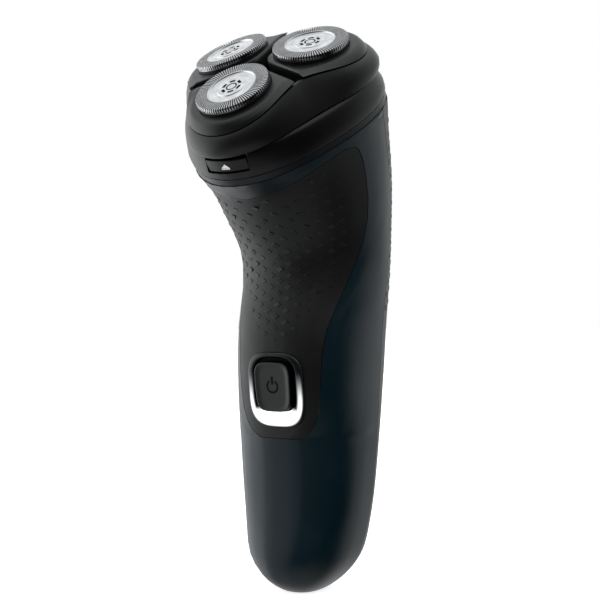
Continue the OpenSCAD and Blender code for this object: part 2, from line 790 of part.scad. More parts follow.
module spindle_seals() {
    color([0.2, 0.2, 0.2])
        in_head()
            for (a = pod_angles)
                rotate([0, 0, a])
                    translate([spindle_offset, 0, -floor_level + 3])
                        difference() {
                            cylinder(r = 2.7, h = 0.9);
                            translate([0, 0, -1]) cylinder(r = spindle_radius + 0.12, h = 3);
                        }
}

// ---- head holder, pods and caps ---------------------------------------------------------------------------
// Angle from the nearest pod's direction, -60 to 60
function fold(a) = ((a + 150) % 120 + 120) % 120 - 60;
pod_corner = 19.5;
corner_side = pod_gap / 2;
corner_angle = 60 - asin(corner_side / pod_corner);
corner_place = pod_corner * [cos(corner_angle), sin(corner_angle)] - [cap_offset, 0];
straight_angle = atan2(corner_place[1], corner_place[0]) - acos(pod_radius / norm(corner_place));
straight_reach = cap_offset * cos(straight_angle) + pod_radius;
round_limit = atan2(pod_radius * sin(straight_angle), cap_offset + pod_radius * cos(straight_angle));
// Reach of the pods' outline from the head's centre
function pod_reach(t) = abs(t) < round_limit
    ? cap_offset * cos(t) + sqrt(pod_radius ^ 2 - (cap_offset * sin(t)) ^ 2)
    : straight_reach / cos(abs(t) - straight_angle);
function foot_reach(t) = collar_depth / 2 - 2.4 + 2.3 * cos(3 * t);
// 1 beside a pod and 0 between two pods
function swell(t) = (1 + cos(3 * t)) / 2;
function parting_reach(t) = pod_reach(t) + 0.1 + 0.3 * swell(t) + 0.3 * max(0, foot_reach(t) - pod_reach(t));
function parting_level(t) = 5.4 + 2.1 * cos(3 * t);
function polar(r, a, w) = to_head([r * cos(a), r * sin(a), w]);
function mix(a, b, s) = a + (b - a) * s;

pod_pin_offset = 26.6;
pod_pin_level = 8.45;
pod_pin_radius = 0.5;
pod_pin_half = 6.3;
deck_level = 9.65;
deck_thickness = 1.1;
skirt_drop = 1.2;
skirt_flare = 1.9;
module holder_skirt() {
    // Share of the way from the foot to the parting line, and the bulge between two pods and beside one
    rows = [[0, 0, 0], [0.2, 0.3, 0.95], [0.42, 0.45, 1.5], [0.7, 0.4, 1.3], [0.9, 0.2, 0.7], [1, 0, 0]];
    step = 5;
    ring = function(reach, level) [for (a = [0:step:359]) let (t = fold(a)) polar(reach(t), a, -level(t))];
    edge_reach = function(t) foot_reach(t) + skirt_flare * swell(t);
    edge_level = function(t) groove_level + skirt_drop * swell(t);
    closed_band(concat(
        [ring(function(t) foot_reach(t) - 0.9, function(t) groove_level),
         ring(function(t) foot_reach(t) - 0.7 + 0.7 * swell(t), function(t) groove_level),
         ring(function(t) edge_reach(t) - 0.6, edge_level)],
        [for (r = rows) ring(
            function(t) mix(edge_reach(t), parting_reach(t), r[0]) + mix(r[1], r[2], swell(t)),
            function(t) mix(edge_level(t), parting_level(t), r[0]))],
        [ring(function(t) parting_reach(t) - 1.1, function(t) parting_level(t)),
         ring(function(t) mix(foot_reach(t), parting_reach(t), 0.3) - 2, function(t) deck_level + 0.4),
         ring(function(t) foot_reach(t) - 2.4, function(t) groove_level)]));
}
cap_axis_at_deck = cap_offset - (deck_level + deck_thickness / 2) * tan(cap_tilt);
module head_holder() {
    color([0.05, 0.05, 0.055])
        difference() {
            union() {
                holder_skirt();
                in_head() {
                    translate([0, 0, -deck_level - deck_thickness])
                        linear_extrude(deck_thickness)
                            polygon([for (a = [0:10:359]) let (t = fold(a),
                                r = mix(foot_reach(t), parting_reach(t), 0.3) - 1.6) r * [cos(a), sin(a)]]);
                    translate([0, 0, -groove_level + 0.4])
                        cylinder(r = 4, h = groove_level - deck_level - 0.4);
                    translate([-knuckle_half, hinge_back, -hinge_level])
                        rotate([0, 90, 0]) cylinder(r = hinge_radius, h = 2 * knuckle_half);
                    translate([-knuckle_half, 24, -groove_level + 0.2])
                        cube([2 * knuckle_half, hinge_back - 24, 1.6]);
                    for (a = pod_angles)
                        rotate([0, 0, a])
                            for (s = [-1, 1])
                                translate([pod_pin_offset - 1.3, s * 5.3 - 1, -deck_level - small])
                                    cube([2.6, 2, deck_level - pod_pin_level + pod_pin_radius + 0.1]);
                }
            }
            in_head() {
                for (a = pod_angles)
                    rotate([0, 0, a]) {
                        translate([cap_axis_at_deck, 0, -deck_level - 4])
                            cylinder(r = 10.4, h = 5);
                        translate([pod_pin_offset, -8, -pod_pin_level])
                            rotate([-90, 0, 0]) cylinder(r = pod_pin_radius, h = 16);
                    }
                translate([0, 0, -groove_level - 1])
                    cylinder(r = 1.8 + running, h = 8);
                translate([-knuckle_half - 1, hinge_back, -hinge_level])
                    rotate([0, 90, 0]) cylinder(r = 1 + running, h = 2 * knuckle_half + 2);
                for (s = [-1, 1])
                    translate([s * (knuckle_half + 3.5) - 3.5, hinge_back, -hinge_level])
                        rotate([0, 90, 0]) cylinder(r = hinge_radius + clear, h = 7);
            }
        }
}
module pod_pins() {
    color([0.75, 0.75, 0.77])
        in_head()
            for (a = pod_angles)
                rotate([0, 0, a])
                    translate([pod_pin_offset, -pod_pin_half, -pod_pin_level])
                        rotate([-90, 0, 0]) cylinder(r = pod_pin_radius, h = 2 * pod_pin_half);
}
frame_level = 11.9;
module retaining_frame() {
    color([0.3, 0.31, 0.33])
        in_head()
            translate([0, 0, -frame_level])
                linear_extrude(1.1)
                    difference() {
                        polygon(outline(22.2, 22.2, 0, 1.4, 5));
                        for (a = pod_angles)
                            rotate([0, 0, a])
                                translate([spindle_offset, 0]) circle(r = 6.6);
                        circle(r = 4.15);
                    }
}
module frame_lock() {
    color([0.45, 0.46, 0.48])
        in_head() {
            translate([0, 0, -frame_level - 0.05 - 1.6])
                cylinder(r = 6.2, h = 1.6);
            translate([0, 0, -frame_level - 0.06])
                cylinder(r = 1.8, h = frame_level - deck_level);
            translate([-0.8, -5.5, -frame_level - 2.9])
                cube([1.6, 11, 1.4]);
        }
}

// Outline of a pod in its own direction: reach grows or shrinks it, level is a function of place
function pod_arc(shrink, side, reach) =
    let (far = reach(60) - shrink, limit = 60 - asin(side / far))
    concat(
        [for (k = [-12:12]) let (t = limit * k / 12) (reach(t) - shrink) * [cos(t), sin(t)]],
        [for (k = [1, 0, -1]) let (r = side / sin(60) + 1.1)
            [r * cos(24) - (k == 0 ? 0.2 : 0), r * sin(24 * k)]]);
function pod_ring(i, points, level) = [for (p = points)
    let (a = pod_angles[i], q = [p[0] * cos(a) - p[1] * sin(a), p[0] * sin(a) + p[1] * cos(a)])
    to_head([q[0], q[1], -level(p)])];
function face_level(p) = pod_face / cos(cap_tilt) + (p[0] - cap_offset) * tan(cap_tilt);
function rim_level(p) = let (t = atan2(p[1], p[0])) parting_level(t) - 0.35 - 0.55 * (t / 60) ^ 2;
function side_level(p, s) = mix(face_level(p), rim_level(p), s);
pod_floor = 7.7;
module pod_body(i) {
    side = pod_gap / 2;
    stack([
        pod_ring(i, pod_arc(2.4, side + 0.3, pod_reach_of), function(p) pod_floor),
        pod_ring(i, pod_arc(1.4, side + 0.15, parting_reach_of), function(p) rim_level(p) + 0.02),
        pod_ring(i, pod_arc(0, side, parting_reach_of), function(p) rim_level(p)),
        pod_ring(i, pod_arc(0.15, side, middle_reach_of), function(p) side_level(p, 0.6)),
        pod_ring(i, pod_arc(0.5, side + 0.05, pod_reach_of), function(p) side_level(p, 0.25)),
        pod_ring(i, pod_arc(1.2, side + 0.3, pod_reach_of), function(p) side_level(p, 0.06)),
        pod_ring(i, pod_arc(1.9, side + 0.75, pod_reach_of), function(p) face_level(p))]);
}
pod_reach_of = function(t) pod_reach(t);
parting_reach_of = function(t) parting_reach(t);
middle_reach_of = function(t) mix(pod_reach(t), parting_reach(t), 0.5);
bore_radius = cap_radius + 0.12;
flange_radius = cap_radius + 0.35;
module pod(i) {
    color([0.06, 0.06, 0.065])
        difference() {
            union() {
                pod_body(i);
                at_pod(i)
                    for (y = [-4.1, 2.2])
                        translate([pod_pin_offset, y, -pod_pin_level])
                            rotate([-90, 0, 0]) cylinder(r = 1.1, h = 1.9);
            }
            at_cap(i) {
                translate([0, 0, -14])
                    cylinder(r = bore_radius, h = 16);
                translate([0, 0, -14])
                    cylinder(r = flange_radius + 0.1, h = 14 - cap_height + 0.5);
            }
            at_pod(i)
                translate([pod_pin_offset, -8, -pod_pin_level])
                    rotate([-90, 0, 0]) cylinder(r = pod_pin_radius + running, h = 16);
        }
}
module pod_1() pod(0);
module pod_2() pod(1);
module pod_3() pod(2);
module cap_ring(i) {
    color([0.12, 0.12, 0.13])
        at_cap(i)
            translate([0, 0, -cap_height - 1.5])
                difference() {
                    cylinder(r = flange_radius + 0.05, h = 1.45);
                    translate([0, 0, -1]) cylinder(r = 10.3, h = 4);
                }
}
module cap_ring_1() cap_ring(0);
module cap_ring_2() cap_ring(1);
module cap_ring_3() cap_ring(2);

foil = 0.4;
track_inner = 6.8;
hub_radius = 3.1;
module foil_cap(i) {
    color([0.85, 0.86, 0.87])
        at_cap(i)
            difference() {
                rotate_extrude()
                    polygon([[0, -0.9], [hub_radius, -0.9], [hub_radius + 0.3, -0.75], [track_inner - 0.6, -0.75],
                        [track_inner - 0.3, -foil], [cap_radius - 0.75, -foil], [cap_radius - foil, -0.75],
                        [cap_radius - foil, -cap_height + 0.4], [cap_radius - foil, -cap_height],
                        [flange_radius, -cap_height], [flange_radius, -cap_height + 0.4],
                        [cap_radius, -cap_height + 0.4], [cap_radius, -0.5], [cap_radius - 0.5, 0],
                        [track_inner, 0], [track_inner - 0.3, -0.3], [hub_radius + 0.6, -0.3],
                        [hub_radius, -0.1], [0, -0.1]]);
                for (k = [0:slot_count - 1])
                    rotate([0, 0, 360 * k / slot_count])
                        translate([track_inner + 0.5, -slot_width / 2, -1.3])
                            cube([cap_radius - track_inner, slot_width, 2]);
            }
}
module foil_cap_1() foil_cap(0);
module foil_cap_2() foil_cap(1);
module foil_cap_3() foil_cap(2);

module cutter(i) {
    hub_foot = meeting_depth + 0.6;
    socket_roof = meeting_depth - 1.6;
    slack = 0.55;
    color([0.7, 0.71, 0.73])
        at_cap(i)
            difference() {
                union() {
                    translate([0, 0, -3.2])
                        cylinder(r = 10, h = 0.7);
                    translate([0, 0, -hub_foot])
                        cylinder(r = 3.2, h = hub_foot - 2.6);
                    for (k = [0:blade_count - 1])
                        rotate([0, 0, 360 * k / blade_count])
                            translate([track_inner + 0.3, -0.3, -2.6])
                                cube([9.9 - track_inner - 0.3, 0.6, 2.6 - foil - 0.15]);
                }
                translate([-dog_half[0] - slack, -dog_half[1] - slack, -hub_foot - 1])
                    cube([2 * (dog_half[0] + slack), 2 * (dog_half[1] + slack), hub_foot - socket_roof + 1]);
            }
}
module cutter_1() cutter(0);
module cutter_2() cutter(1);
module cutter_3() cutter(2);

front_shell();
rear_cover();
front_grip();
neck_ring();
hair_chamber();
hinge_pin();
base_socket();
socket_pins();
chassis();
battery();
battery_contacts();
circuit_board();
board_screws();
power_switch();
indicator_led();
light_ring();
button_bezel();
power_button();
release_button();
motor();
motor_shaft();
motor_pinion();
gear_plate();
plate_screws();
spindle_seals();
drive_gear_1();
drive_gear_2();
drive_gear_3();
drive_spindle_1();
drive_spindle_2();
drive_spindle_3();
head_holder();
retaining_frame();
frame_lock();
pod_pins();
pod_1();
pod_2();
pod_3();
cap_ring_1();
cap_ring_2();
cap_ring_3();
foil_cap_1();
foil_cap_2();
foil_cap_3();
cutter_1();
cutter_2();
cutter_3();
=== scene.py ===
import json
import math

import bpy
from mathutils import Matrix, Vector


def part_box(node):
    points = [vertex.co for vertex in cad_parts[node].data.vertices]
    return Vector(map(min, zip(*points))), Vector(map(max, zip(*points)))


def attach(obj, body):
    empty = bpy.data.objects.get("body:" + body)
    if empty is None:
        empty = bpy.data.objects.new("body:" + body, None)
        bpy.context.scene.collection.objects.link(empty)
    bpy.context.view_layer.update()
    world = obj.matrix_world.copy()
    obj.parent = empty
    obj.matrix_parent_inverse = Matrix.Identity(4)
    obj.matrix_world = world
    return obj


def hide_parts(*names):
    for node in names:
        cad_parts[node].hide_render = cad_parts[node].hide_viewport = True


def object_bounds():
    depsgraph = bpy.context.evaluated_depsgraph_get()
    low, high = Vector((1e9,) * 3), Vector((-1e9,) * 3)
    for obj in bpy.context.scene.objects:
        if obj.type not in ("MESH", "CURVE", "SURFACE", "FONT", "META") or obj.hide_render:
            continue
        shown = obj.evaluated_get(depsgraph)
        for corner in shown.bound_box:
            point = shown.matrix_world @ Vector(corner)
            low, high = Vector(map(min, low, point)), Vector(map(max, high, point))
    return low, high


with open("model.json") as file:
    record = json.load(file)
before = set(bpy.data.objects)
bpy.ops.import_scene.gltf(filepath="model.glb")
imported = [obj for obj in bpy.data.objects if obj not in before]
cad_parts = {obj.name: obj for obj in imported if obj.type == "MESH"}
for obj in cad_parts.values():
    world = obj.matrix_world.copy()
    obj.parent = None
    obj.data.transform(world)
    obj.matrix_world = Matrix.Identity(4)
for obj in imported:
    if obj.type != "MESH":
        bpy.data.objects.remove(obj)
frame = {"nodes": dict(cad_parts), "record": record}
cadBox = [list(corner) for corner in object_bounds()]
nodes = frame["nodes"]
slotOf = {part["node"]: part["material_slot"] for part in frame["record"]["subparts"]}
bodyOf = {}
for bodyName, members in frame["record"]["behaviour"]["bodies"].items():
    for member in members:
        bodyOf[member] = bodyName
mm = 0.001

# The head has its own frame: a centre, a lean, and heights counted from the rims of the caps
head = dict(centre=Vector((0, -0.026, 0.155)), lean=36.3, capOffset=15.83, capTilt=7.23, pods=(-90, 30, 150))
headTurn = Matrix.Translation(head["centre"]) @ Matrix.Rotation(math.radians(head["lean"]), 4, "X")


def capPlace(index):
    turn = Matrix.Rotation(math.radians(head["pods"][index]), 4, "Z")
    tilt = Matrix.Rotation(math.radians(head["capTilt"]), 4, "Y")
    return headTurn @ turn @ Matrix.Translation((head["capOffset"] * mm, 0, 0)) @ tilt


# ---- materials
def newMaterial(name):
    material = bpy.data.materials.new(name)
    material.use_nodes = True
    tree = material.node_tree
    return material, tree, tree.nodes["Principled BSDF"]


def link(tree, fromNode, fromSocket, toNode, toSocket):
    tree.links.new(fromNode.outputs[fromSocket], toNode.inputs[toSocket])


def noiseOn(tree, source, socket, scale, detail, roughness=0.5):
    noise = tree.nodes.new("ShaderNodeTexNoise")
    noise.inputs["Scale"].default_value = scale
    noise.inputs["Detail"].default_value = detail
    noise.inputs["Roughness"].default_value = roughness
    link(tree, source, socket, noise, "Vector")
    return noise


def grain(tree, scale):
    return noiseOn(tree, tree.nodes.new("ShaderNodeTexCoord"), "Object", scale, 2, 0.55)


noiseRange = (0.3, 0.7)  # where most of a noise's values lie


def spread(tree, noise, low, high):
    ramp = tree.nodes.new("ShaderNodeMapRange")
    ramp.inputs["From Min"].default_value = noiseRange[0]
    ramp.inputs["From Max"].default_value = noiseRange[1]
    ramp.inputs["To Min"].default_value = low
    ramp.inputs["To Max"].default_value = high
    link(tree, noise, "Fac", ramp, "Value")
    return ramp


def shade(tree, noise, dark, light):
    ramp = tree.nodes.new("ShaderNodeValToRGB")
    for element, position, colour in zip(ramp.color_ramp.elements, noiseRange, (dark, light)):
        element.position = position
        element.color = (*colour, 1)
    link(tree, noise, "Fac", ramp, "Fac")
    return ramp


def dimple(tree, noise, shader, strength, depth):
    bump = tree.nodes.new("ShaderNodeBump")
    bump.inputs["Strength"].default_value = strength
    bump.inputs["Distance"].default_value = depth * mm
    link(tree, noise, "Fac", bump, "Height")
    link(tree, bump, "Normal", shader, "Normal")


# what every moulded or pressed finish shares; the grain is in millimetres
mould = dict(cloudScale=60, grainSize=0.25, grainDepth=0.02, grainStrength=0.5, roughSpread=0.03)


def moulded(name, dark, light, rough, specular=0.5, metal=0.0):
    material, tree, shader = newMaterial(name)
    cloud = grain(tree, mould["cloudScale"])
    fine = grain(tree, 1 / (mould["grainSize"] * mm))
    link(tree, shade(tree, cloud, dark, light), "Color", shader, "Base Color")
    roughness = spread(tree, cloud, rough - mould["roughSpread"], rough + mould["roughSpread"])
    link(tree, roughness, "Result", shader, "Roughness")
    dimple(tree, fine, shader, mould["grainStrength"], mould["grainDepth"])
    shader.inputs["Specular IOR Level"].default_value = specular
    shader.inputs["Metallic"].default_value = metal
    return material


finishes = {
    "shell_navy": dict(dark=(0.0008, 0.0090, 0.0140), light=(0.0012, 0.0110, 0.0165), rough=0.4),
    "cover_black": dict(dark=(0.0030, 0.0030, 0.0033), light=(0.0040, 0.0040, 0.0044), rough=0.5),
    "grip_black": dict(dark=(0.0042, 0.0043, 0.0044), light=(0.0052, 0.0053, 0.0054), rough=0.5),
    "collar_black": dict(dark=(0.0013, 0.0013, 0.0014), light=(0.0020, 0.0020, 0.0021), rough=0.42),
    "band_grey": dict(dark=(0.0060, 0.0075, 0.0085), light=(0.0075, 0.0090, 0.0100), rough=0.4),
    "head_black": dict(dark=(0.0045, 0.0046, 0.0047), light=(0.0060, 0.0061, 0.0062), rough=0.42),
    "pod_black": dict(dark=(0.0050, 0.0052, 0.0054), light=(0.0065, 0.0067, 0.0070), rough=0.4),
    "button_black": dict(dark=(0.0200, 0.0203, 0.0208), light=(0.0250, 0.0253, 0.0258), rough=0.42),
    "bezel_black": dict(dark=(0.0004, 0.0004, 0.0004), light=(0.0006, 0.0006, 0.0006), rough=0.5,
                        specular=0.12),
    "socket_black": dict(dark=(0.008, 0.008, 0.009), light=(0.012, 0.012, 0.013), rough=0.5),
    "chassis_grey": dict(dark=(0.05, 0.05, 0.053), light=(0.07, 0.07, 0.073), rough=0.55),
    "cell_sleeve": dict(dark=(0.03, 0.13, 0.05), light=(0.04, 0.16, 0.06), rough=0.3),
    "board_green": dict(dark=(0.004, 0.05, 0.02), light=(0.006, 0.07, 0.028), rough=0.4),
    "switch_black": dict(dark=(0.01, 0.01, 0.01), light=(0.014, 0.014, 0.014), rough=0.5),
    "led_clear": dict(dark=(0.80, 0.80, 0.66), light=(0.88, 0.88, 0.74), rough=0.15),
    "gear_nylon": dict(dark=(0.62, 0.62, 0.56), light=(0.70, 0.70, 0.64), rough=0.5),
    "spindle_nylon": dict(dark=(0.56, 0.56, 0.50), light=(0.62, 0.62, 0.56), rough=0.45),
    "seal_rubber": dict(dark=(0.012, 0.012, 0.012), light=(0.018, 0.018, 0.018), rough=0.7),
    "frame_grey": dict(dark=(0.022, 0.024, 0.026), light=(0.028, 0.030, 0.032), rough=0.5),
    "lock_grey": dict(dark=(0.07, 0.073, 0.08), light=(0.09, 0.093, 0.10), rough=0.45),
    "foil_steel": dict(dark=(0.52, 0.53, 0.54), light=(0.66, 0.67, 0.68), rough=0.22, metal=1.0),
    "cutter_steel": dict(dark=(0.34, 0.35, 0.36), light=(0.44, 0.45, 0.46), rough=0.3, metal=1.0),
    "pin_steel": dict(dark=(0.50, 0.51, 0.52), light=(0.58, 0.59, 0.60), rough=0.25, metal=1.0),
    "contact_nickel": dict(dark=(0.60, 0.58, 0.54), light=(0.70, 0.68, 0.63), rough=0.2, metal=1.0),
    "motor_can": dict(dark=(0.42, 0.43, 0.44), light=(0.52, 0.53, 0.54), rough=0.32, metal=1.0),
    "pinion_brass": dict(dark=(0.60, 0.42, 0.16), light=(0.72, 0.52, 0.22), rough=0.28, metal=1.0),
    "light_pipe": dict(dark=(0.70, 0.76, 0.80), light=(0.78, 0.83, 0.86), rough=0.25),
}
materials = {slot: moulded(slot, **look) for slot, look in finishes.items()}
for name, part in nodes.items():
    part.data.materials.clear()
    part.data.materials.append(materials[slotOf[name]])
print("materials", len(materials))


# ---- making pieces
def activate(piece):
    if bpy.context.object and bpy.context.object.mode != "OBJECT":
        bpy.ops.object.mode_set(mode="OBJECT")
    bpy.ops.object.select_all(action="DESELECT")
    piece.select_set(True)
    bpy.context.view_layer.objects.active = piece


# millimetres within which corners are merged, and the degrees that make quads and smooth shading
joining = dict(merge=0.003, quadFace=25, quadShape=60, smooth=35)


def dressedCopy(node, name, levels, flatParts):
    piece = bpy.data.objects.new(name, nodes[node].data.copy())
    bpy.context.collection.objects.link(piece)
    activate(piece)
    bpy.ops.object.mode_set(mode="EDIT")
    bpy.ops.mesh.select_all(action="SELECT")
    bpy.ops.mesh.remove_doubles(threshold=joining["merge"] * mm)
    bpy.ops.mesh.tris_convert_to_quads(face_threshold=math.radians(joining["quadFace"]),
                                       shape_threshold=math.radians(joining["quadShape"]))
    bpy.ops.object.mode_set(mode="OBJECT")
    if levels:
        bpy.ops.object.mode_set(mode="EDIT")
        bpy.ops.mesh.select_all(action="DESELECT")
        bpy.ops.mesh.select_mode(type="EDGE")
        bpy.ops.mesh.edges_select_sharp(sharpness=math.radians(joining["smooth"]))
        bpy.ops.transform.edge_crease(value=1)
        bpy.ops.object.mode_set(mode="OBJECT")
        finer = piece.modifiers.new("finer", "SUBSURF")
        finer.levels = finer.render_levels = levels
        bpy.ops.object.modifier_apply(modifier=finer.name)
    bpy.ops.object.shade_smooth_by_angle(angle=math.radians(joining["smooth"]))
    if flatParts:
        steady = piece.modifiers.new("steady", "WEIGHTED_NORMAL")
        steady.keep_sharp = True
        bpy.ops.object.modifier_apply(modifier=steady.name)
    piece.data.materials.clear()
    piece.data.materials.append(materials[slotOf[node]])
    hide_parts(node)
    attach(piece, bodyOf[node])
    return piece


def camelName(node):
    words = node.split("_")
    return words[0] + "".join(word.capitalize() for word in words[1:])


# the pieces whose solids are dressed, each with its levels of subdivision
smoothNodes = dict(front_shell=0, rear_cover=1, front_grip=0, neck_ring=0, hair_chamber=0, head_holder=0,
                   pod_1=0, pod_2=0, pod_3=0, light_ring=0, power_button=0, release_button=0, button_bezel=0)
lofted = ("front_shell", "rear_cover", "front_grip")  # curved all over: steadied normals leave stripes
dressed = {node: dressedCopy(node, camelName(node), levels, node not in lofted)
           for node, levels in smoothNodes.items()}
print("smoothed", len(dressed))


def place(piece, matrix):
    activate(piece)
    piece.matrix_world = matrix @ piece.matrix_world
    bpy.ops.object.transform_apply(location=True, rotation=True, scale=True)


def editFaces(piece, wanted):
    activate(piece)
    bpy.ops.object.mode_set(mode="EDIT")
    bpy.ops.mesh.select_mode(type="FACE")
    bpy.ops.mesh.select_all(action="DESELECT")
    bpy.ops.object.mode_set(mode="OBJECT")
    for face in piece.data.polygons:
        face.select = bool(wanted(face))
    bpy.ops.object.mode_set(mode="EDIT")


def paint(piece, material, wanted):
    piece.data.materials.append(material)
    slot = len(piece.data.materials) - 1
    for face in piece.data.polygons:
        if wanted(face):
            face.material_index = slot


def finishPiece(piece, body, node=None, smoothAngle=joining["smooth"]):
    activate(piece)
    bpy.ops.object.shade_smooth_by_angle(angle=math.radians(smoothAngle))
    if node:
        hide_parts(node)
    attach(piece, body)


# ---- foil caps: a comb of slots round a turned ring, with a pierced hub
foil = dict(
    sectors=180, slotDepth=0.45, slotInner=7.35, slotLevel=-1.3, blackLevel=-1.4,
    hubArcs=6, arcSectors=19, hubReach=(2.15, 3.05), hubDepth=0.3, bossReach=(1.2, 1.7), bossDepth=0.15,
    boss=dict(sides=6, radius=1.3, tall=0.3, level=-0.22, rounding=0.08),
    # radius and level of each turned ring, from the foot of the wall to the middle
    rings=((11.35, -4.4), (11.35, -4.0), (11.0, -4.0), (11.0, -1.45), (11.0, -1.3), (11.0, -0.5),
           (10.86, -0.18), (10.62, -0.03), (10.2, 0), (9.0, 0), (7.9, -0.02), (7.35, -0.05), (7.1, -0.1),
           (6.95, -0.36), (6.5, -0.4), (5.9, -0.34), (5.6, -0.31), (5.2, -0.3), (4.75, -0.3), (4.4, -0.3),
           (4.25, -0.13), (3.9, -0.1), (3.05, -0.1), (2.15, -0.1), (1.7, -0.1), (1.2, -0.1), (0.4, -0.1)))
capBlack = moulded("capBlack", (0.004, 0.004, 0.0045), (0.006, 0.006, 0.0065), 0.3)
# painted shade: a near-black finish for the slots and the hub's openings, standing in for the dark inside
# the head
slotPaintedShade = moulded("slotPaintedShade", (0.003, 0.003, 0.003), (0.005, 0.005, 0.005), 0.6)

# fine marks that run round the cap, broad bright and dark sectors that are a painted reflection (cloudScale
# sets their size), and a comb that is duller than the hub
turned = dict(marks=(0.6, 11, 1), cloudScale=0.45, dark=(0.72, 0.73, 0.74), rough=(0.24, 0.36),
              combStart=7.0, combEnd=7.4, comb=0.72, strength=0.6, depth=0.02)


def multiplied(tree):
    mix = tree.nodes.new("ShaderNodeMix")
    mix.data_type = "RGBA"
    mix.blend_type = "MULTIPLY"
    mix.inputs["Factor"].default_value = 1
    return mix


def turnedSteel():
    material, tree, shader = newMaterial("turnedSteel")
    uv = tree.nodes.new("ShaderNodeUVMap")
    uv.uv_map = "turning"
    stretch = tree.nodes.new("ShaderNodeMapping")
    stretch.inputs["Scale"].default_value = turned["marks"]
    link(tree, uv, "UV", stretch, "Vector")
    marks = noiseOn(tree, stretch, "Vector", 1, 4)
    # painted reflection: broad bright and dark sectors in the base colour, standing in for the streaks that
    # turned metal reflects
    paintedSheenSectors = noiseOn(tree, uv, "UV", turned["cloudScale"], 1)
    split = tree.nodes.new("ShaderNodeSeparateXYZ")
    link(tree, uv, "UV", split, "Vector")
    rim = tree.nodes.new("ShaderNodeMapRange")
    rim.inputs["From Min"].default_value = turned["combStart"]
    rim.inputs["From Max"].default_value = turned["combEnd"]
    rim.inputs["To Min"].default_value = 1
    rim.inputs["To Max"].default_value = turned["comb"]
    link(tree, split, "Y", rim, "Value")
    sheenSectorsAndComb = multiplied(tree)
    link(tree, shade(tree, paintedSheenSectors, turned["dark"], (1, 1, 1)), "Color", sheenSectorsAndComb, "A")
    link(tree, rim, "Result", sheenSectorsAndComb, "B")
    steel = multiplied(tree)
    link(tree, shade(tree, marks, turned["dark"], (1, 1, 1)), "Color", steel, "A")
    link(tree, sheenSectorsAndComb, "Result", steel, "B")
    link(tree, steel, "Result", shader, "Base Color")
    link(tree, spread(tree, marks, *turned["rough"]), "Result", shader, "Roughness")
    dimple(tree, marks, shader, turned["strength"], turned["depth"])
    shader.inputs["Metallic"].default_value = 1
    return material


def ringMap(piece):
    layer = piece.data.uv_layers.new(name="turning")
    for face in piece.data.polygons:
        middle = math.atan2(face.center.y, face.center.x)
        for corner in face.loop_indices:
            spot = piece.data.vertices[piece.data.loops[corner].vertex_index].co
            angle = math.atan2(spot.y, spot.x)
            angle += 2 * math.pi * round((middle - angle) / (2 * math.pi))
            # ten for each half turn, and millimetres outwards
            layer.data[corner].uv = (angle * 10 / math.pi, math.hypot(spot.x, spot.y) / mm)


def sector(face):
    return int(math.degrees(math.atan2(face.center.y, face.center.x)) % 360 * foil["sectors"] / 360)


def capSlot(face):
    reach, level = math.hypot(face.center.x, face.center.y) / mm, face.center.z / mm
    return sector(face) % 2 == 0 and reach > foil["slotInner"] and level > foil["slotLevel"]


def hubSlot(face):
    reach = math.hypot(face.center.x, face.center.y) / mm
    share = foil["sectors"] // foil["hubArcs"]
    inner, outer = foil["hubReach"]
    return inner < reach < outer and sector(face) % share < foil["arcSectors"]


def bossSlot(face):
    inner, outer = foil["bossReach"]
    return inner < math.hypot(face.center.x, face.center.y) / mm < outer


bpy.ops.object.select_all(action="DESELECT")
foot = foil["rings"][0]
bpy.ops.mesh.primitive_circle_add(vertices=foil["sectors"], radius=foot[0] * mm, location=(0, 0, 0))
cap = bpy.context.object
cap.name = "foilCap"
bpy.ops.object.mode_set(mode="EDIT")
bpy.ops.transform.translate(value=(0, 0, foot[1] * mm))
for before, after in zip(foil["rings"], foil["rings"][1:]):
    bpy.ops.mesh.extrude_edges_move(TRANSFORM_OT_translate={"value": (0, 0, (after[1] - before[1]) * mm)})
    shrink = after[0] / before[0]
    bpy.ops.transform.resize(value=(shrink, shrink, 1), center_override=(0, 0, 0))
bpy.ops.mesh.edge_face_add()
bpy.ops.mesh.select_all(action="SELECT")
bpy.ops.mesh.normals_make_consistent(inside=False)
bpy.ops.object.mode_set(mode="OBJECT")
cap.data.materials.append(turnedSteel())
cap.data.materials.append(slotPaintedShade)
# the slots and the hub's openings are sunk, and their floors take the painted shade
cuts = ((capSlot, foil["slotDepth"]), (hubSlot, foil["hubDepth"]), (bossSlot, foil["bossDepth"]))
for wanted, depth in cuts:
    editFaces(cap, wanted)
    bpy.ops.mesh.extrude_region_shrink_fatten(
        MESH_OT_extrude_region={"use_normal_flip": False},
        TRANSFORM_OT_shrink_fatten={"value": -depth * mm})
    bpy.ops.object.mode_set(mode="OBJECT")
    for face in cap.data.polygons:
        if face.select:
            face.material_index = 1


def slotWall(face):
    # a face that looks round the cap and not outwards or up
    along = Vector((-face.center.y, face.center.x, 0)).normalized()
    return abs(face.normal.dot(along)) > 0.7


# the slots' side walls take the same painted shade as their floors
for face in cap.data.polygons:
    if slotWall(face):
        face.material_index = 1
paint(cap, capBlack, lambda face: face.center.z < foil["blackLevel"] * mm)

bossSize = foil["boss"]
bpy.ops.object.select_all(action="DESELECT")
bpy.ops.mesh.primitive_cylinder_add(vertices=bossSize["sides"], radius=bossSize["radius"] * mm,
                                    depth=bossSize["tall"] * mm, location=(0, 0, bossSize["level"] * mm))
boss = bpy.context.object
rounding = boss.modifiers.new("rounding", "BEVEL")
rounding.width = bossSize["rounding"] * mm
rounding.segments = 2
bpy.ops.object.modifier_apply(modifier=rounding.name)
boss.data.materials.append(cap.data.materials[0])
activate(cap)
boss.select_set(True)
bpy.ops.object.join()
ringMap(cap)
for index in range(3):
    copy = cap.copy()
    copy.data = cap.data.copy()
    copy.name = "foilCap%d" % (index + 1)
    bpy.context.collection.objects.link(copy)
    place(copy, capPlace(index))
    finishPiece(copy, "pod_%d" % (index + 1), "foil_cap_%d" % (index + 1))
bpy.data.objects.remove(cap)
print("foil caps")
